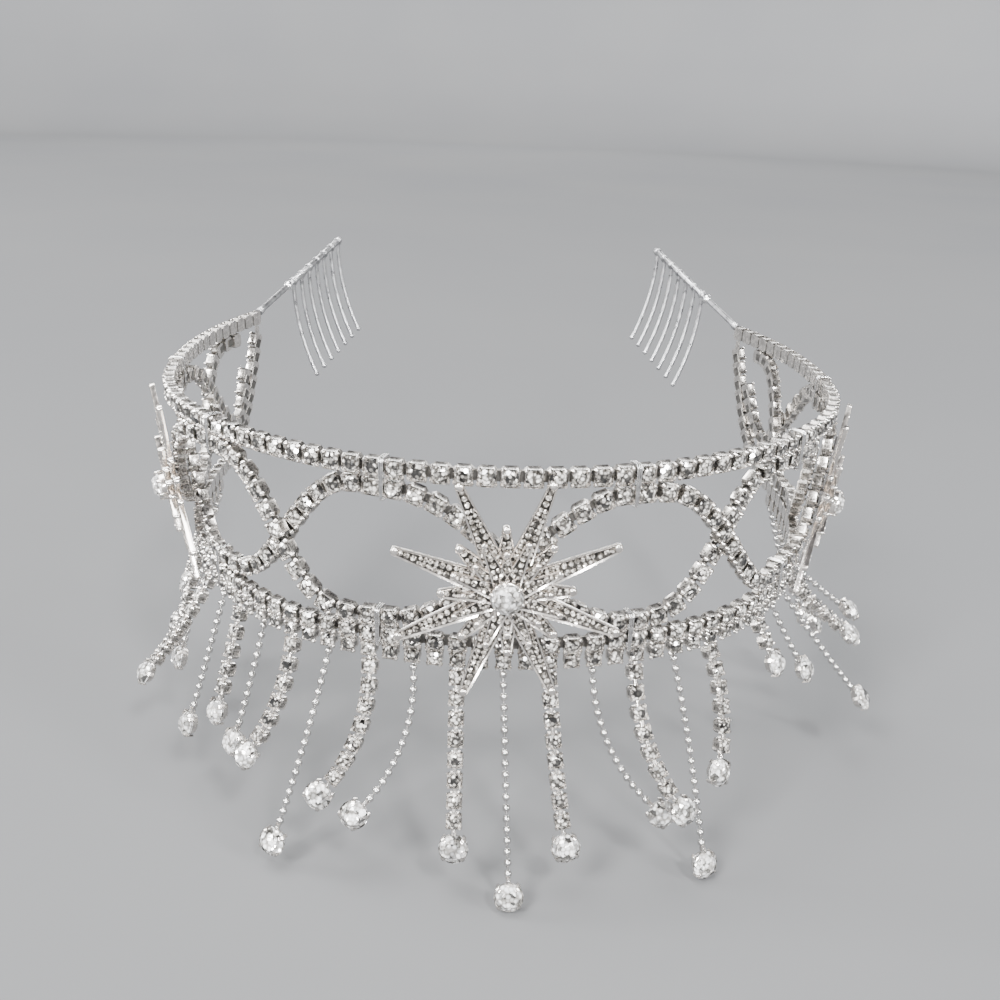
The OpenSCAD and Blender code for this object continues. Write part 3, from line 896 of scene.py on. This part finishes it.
# Comb wires and combs
# A plain steel wire, wound at its start, carries on from each end of the top
# rail to a bead of solder. There the comb starts: a bar with seven curved wire
# teeth, each wound twice round the bar.
comb_steel = plated(
    "comb_steel", light=(0.5, 0.5, 0.51), dark=(0.3, 0.3, 0.31), rough=(0.24, 0.42),
    grain=500, deep=0.01 * mm)
solder = plated("solder", light=(0.9, 0.9, 0.9), dark=(0.7, 0.7, 0.7), rough=(0.15, 0.3))
comb_heading = math.radians(110)
comb_climb = math.radians(15.5)
comb_z = rise + 0.6 * mm
wire_r = 0.8 * mm
bar_r = 0.9 * mm
wire_start = cup_side / 2 + 3 * gap
wire_length = 18 * mm
bead_r = 1.5 * mm
bead_place = Vector((wire_start + wire_length, 0, 0))
bar_start = wire_start + wire_length + bead_r + gap
bar_end = 1.5 * mm
tooth_pitch = 5 * mm


def on_comb_line(side, run):
    """A place on the line of the wire and the comb's bar, with +X along it. The left side is mirrored."""
    x, y, _ = plan(half_length)
    flip = Matrix.Scale(-1, 4, (1, 0, 0)) if side < 0 else Matrix.Identity(4)
    turn = Matrix.Rotation(comb_heading, 4, "Z") @ Matrix.Rotation(-comb_climb, 4, "Y")
    return flip @ at(x, y, comb_z) @ turn @ at(run, 0, 0)


def coil(r, thin_r, turns, spacing):
    """A few rings of fine wire side by side round a bar along X."""
    parts = []
    for k in range(turns):
        bpy.ops.object.select_all(action="DESELECT")
        bpy.ops.mesh.primitive_torus_add(
            major_radius=r, minor_radius=thin_r, major_segments=16, minor_segments=6,
            location=((k - (turns - 1) / 2) * spacing, 0, 0), rotation=(0, math.pi / 2, 0))
        parts.append(smoothed(new_piece(comb_steel), 80))
    return joined("coil", parts)


def turned_out(piece):
    """Turns the faces of a mirrored piece outwards again."""
    pick(piece, "FACE", lambda middle, normal: True)
    bpy.ops.mesh.flip_normals()
    return done()


wire_coil = coil(r=wire_r + 0.1 * mm, thin_r=0.2 * mm, turns=4, spacing=0.4 * mm)
tooth_coil = coil(r=bar_r + 0.12 * mm, thin_r=0.28 * mm, turns=2, spacing=0.55 * mm)
for side, name in ((-1, "left"), (1, "right")):
    bpy.ops.object.select_all(action="DESELECT")
    bpy.ops.mesh.primitive_cylinder_add(
        vertices=20, radius=wire_r, depth=wire_length, location=(wire_start + wire_length / 2, 0, 0),
        rotation=(0, math.pi / 2, 0))
    wire = new_piece(comb_steel)
    pick(wire, "FACE", lambda middle, normal: abs(normal.x) > 0.9)
    bpy.ops.mesh.inset(thickness=0.2 * mm)
    wire = smoothed(done())
    bpy.ops.object.select_all(action="DESELECT")
    bpy.ops.mesh.primitive_uv_sphere_add(segments=20, ring_count=12, radius=bead_r, location=bead_place)
    bead = smoothed(new_piece(solder), 80)
    for point in bead.data.vertices:
        away = point.co - bead_place
        point.co -= away * 0.06 * (1 + math.sin(away.x * 2300) * math.cos(away.z * 1900))
    start_coil = copies(wire_coil, [at(wire_start + 1.2 * mm, 0, 0)])
    piece = joined("comb_wire_" + name + "_soldered", [wire, bead] + start_coil)
    piece.data.transform(on_comb_line(side, 0))
    if side < 0:
        turned_out(piece)
    fitted(piece, "comb_wire", "comb_wire_" + name)

    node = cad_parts["comb_" + name]
    comb = bpy.data.objects.new("comb_" + name + "_wound", node.data.copy())
    bpy.context.scene.collection.objects.link(comb)
    pick(comb, "VERT", lambda point: True)
    bpy.ops.mesh.remove_doubles(threshold=0.001 * mm)
    comb = smoothed(done(), 35)
    comb.data.materials.clear()
    comb.data.materials.append(comb_steel)
    roots = [on_comb_line(side, bar_start + bar_end + i * tooth_pitch) for i in range(7)]
    windings = copies(tooth_coil, roots)
    if side < 0:
        for winding in windings:
            turned_out(winding)
    piece = joined("comb_" + name + "_wound", [comb] + windings)
    fitted(piece, "comb_steel", "comb_" + name)

# The patterns were only there to be copied
for pattern in (big_cup, low_cup, small_cup, rail_strip, wave_strip, tab_wire, high_lashing, low_lashing,
                set_stone, plate, boss, middle_stone, ball, link, hook_ring, drop, wire_coil, tooth_coil):
    bpy.data.objects.remove(pattern)

# Floor and light
# A wide floor of pale studio paper that curves up all round, soft light from
# above and from seven lamps, and the camera at the photograph's angle.
floor_r = 2.6
cove_height = 0.38
cove_r = 0.32
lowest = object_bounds()[0].z
bpy.ops.object.select_all(action="DESELECT")
bpy.ops.mesh.primitive_cylinder_add(
    vertices=96, radius=floor_r, depth=cove_height, location=(0, 0, lowest - 1 * mm + cove_height / 2))
floor = bpy.context.view_layer.objects.active
floor.name = "studio_floor"
bpy.ops.object.transform_apply(location=True, rotation=True, scale=True)
eased(floor, lambda middle, way: middle.z < 0 and middle.xy.length > floor_r - 0.1, cove_r, 16)
opened(floor, lambda middle, normal: normal.z > 0.9 and middle.z > cove_height / 2)
smoothed(floor, 60)

paper, nodes, links, shader = new_finish("studio_paper")
shader.inputs["Roughness"].default_value = 0.85
shader.inputs["Specular IOR Level"].default_value = 0
where = nodes.new("ShaderNodeTexCoord")
cloud = nodes.new("ShaderNodeTexNoise")
cloud.inputs["Scale"].default_value = 4
links.new(where.outputs["Object"], cloud.inputs["Vector"])
tone = ramp(nodes, [(0.3, (0.95, 0.955, 0.97)), (0.7, (1, 1, 1))])
links.new(cloud.outputs["Fac"], tone.inputs["Fac"])
flat = vector_step(nodes, links, "MULTIPLY", where.outputs["Object"], (1, 1, 0))
away = vector_step(nodes, links, "LENGTH", flat.outputs["Vector"])
split = nodes.new("ShaderNodeSeparateXYZ")
links.new(where.outputs["Object"], split.inputs["Vector"])
along = nodes.new("ShaderNodeMath")
links.new(away.outputs["Value"], along.inputs[0])
links.new(split.outputs["Z"], along.inputs[1])
up = nodes.new("ShaderNodeMapRange")
up.inputs["From Min"].default_value = lowest
up.inputs["From Max"].default_value = lowest + 3
links.new(along.outputs["Value"], up.inputs["Value"])
greys = [
    (0.13, 0.115), (0.4, 0.122), (0.76, 0.13), (0.815, 0.15),
    (0.864, 0.175), (0.92, 0.22), (0.972, 0.28),
]
paler = ramp(nodes, [(place, (grey, grey * 1.01, grey * 1.03)) for place, grey in greys])
links.new(up.outputs["Result"], paler.inputs["Fac"])
blend = multiplied(nodes, links, tone.outputs["Color"], paler.outputs["Color"])
links.new(blend, shader.inputs["Base Color"])
floor.data.materials.append(paper)

lamp_aim = Vector((0, -20 * mm, 0))


def stand_lamp(name, lamp, place):
    """Stands a lamp at a place, turned to a spot inside the front of the band."""
    stand = bpy.data.objects.new(name, lamp)
    stand.location = place
    stand.rotation_euler = (lamp_aim - Vector(place)).to_track_quat("-Z", "Y").to_euler()
    bpy.context.scene.collection.objects.link(stand)
    return stand


def soft_light(name, place, size, power):
    """A flat soft lamp that the camera doesn't see."""
    lamp = bpy.data.lights.new(name, "AREA")
    lamp.shape = "RECTANGLE"
    lamp.size, lamp.size_y = size
    lamp.energy = power
    stand_lamp(name, lamp, place).visible_camera = False


sky = bpy.data.lights.new("sky_light", "SUN")
sky.angle = math.radians(40)
sky.energy = 6.5
stand_lamp("sky_light", sky, (-0.25, 0, 1))
soft_light("key_light", place=(-1.25, -1.5, 1.9), size=(0.75, 0.75), power=175)
soft_light("fill_light", place=(1.75, -1.12, 1.0), size=(0.38, 1.0), power=62)
soft_light("left_light", place=(-2.0, 0.25, 0.75), size=(0.25, 1.0), power=50)
soft_light("front_light", place=(0.3, -2.1, 0.45), size=(0.2, 0.2), power=37)
soft_light("low_left_light", place=(-0.87, -1.85, 0.38), size=(0.2, 0.2), power=31)
soft_light("high_light", place=(0.75, -1.5, 2.0), size=(0.3, 0.3), power=75)
soft_light("back_light", place=(0, 2.75, 0.5), size=(3.2, 0.28), power=65)

wall_grey = (0.5, 0.505, 0.515)
lit_white = (1, 1, 1)
world = bpy.data.worlds.new("studio_air")
bpy.context.scene.world = world
world.use_nodes = True
nodes, links = world.node_tree.nodes, world.node_tree.links
where = nodes.new("ShaderNodeTexCoord")
split = nodes.new("ShaderNodeSeparateXYZ")
links.new(where.outputs["Generated"], split.inputs["Vector"])
tone = ramp(nodes, [(0.5, wall_grey), (0.62, wall_grey), (0.66, lit_white), (0.74, lit_white),
                    (0.79, (0.05, 0.05, 0.055)), (1, (0.12, 0.12, 0.13))])
height = nodes.new("ShaderNodeMapRange")
height.inputs["From Min"].default_value = -1
links.new(split.outputs["Z"], height.inputs["Value"])
links.new(height.outputs["Result"], tone.inputs["Fac"])
links.new(tone.outputs["Color"], nodes["Background"].inputs["Color"])
nodes["Background"].inputs["Strength"].default_value = 1.3

lens = bpy.data.cameras.new("camera")
lens.lens = 36
lens.sensor_width = 36
lens.clip_start = 0.01
camera = bpy.data.objects.new("camera", lens)
camera_place = at(-7.26 * mm, -222.35 * mm, 98.9 * mm)
camera_swing = Matrix.Rotation(math.radians(-1.90), 4, "Z")
camera_tilt = Matrix.Rotation(math.radians(67.06), 4, "X")
camera_roll = Matrix.Rotation(math.radians(2.26), 4, "Z")
camera.matrix_world = camera_place @ (camera_swing @ camera_tilt @ camera_roll)
bpy.context.scene.collection.objects.link(camera)
bpy.context.scene.camera = camera
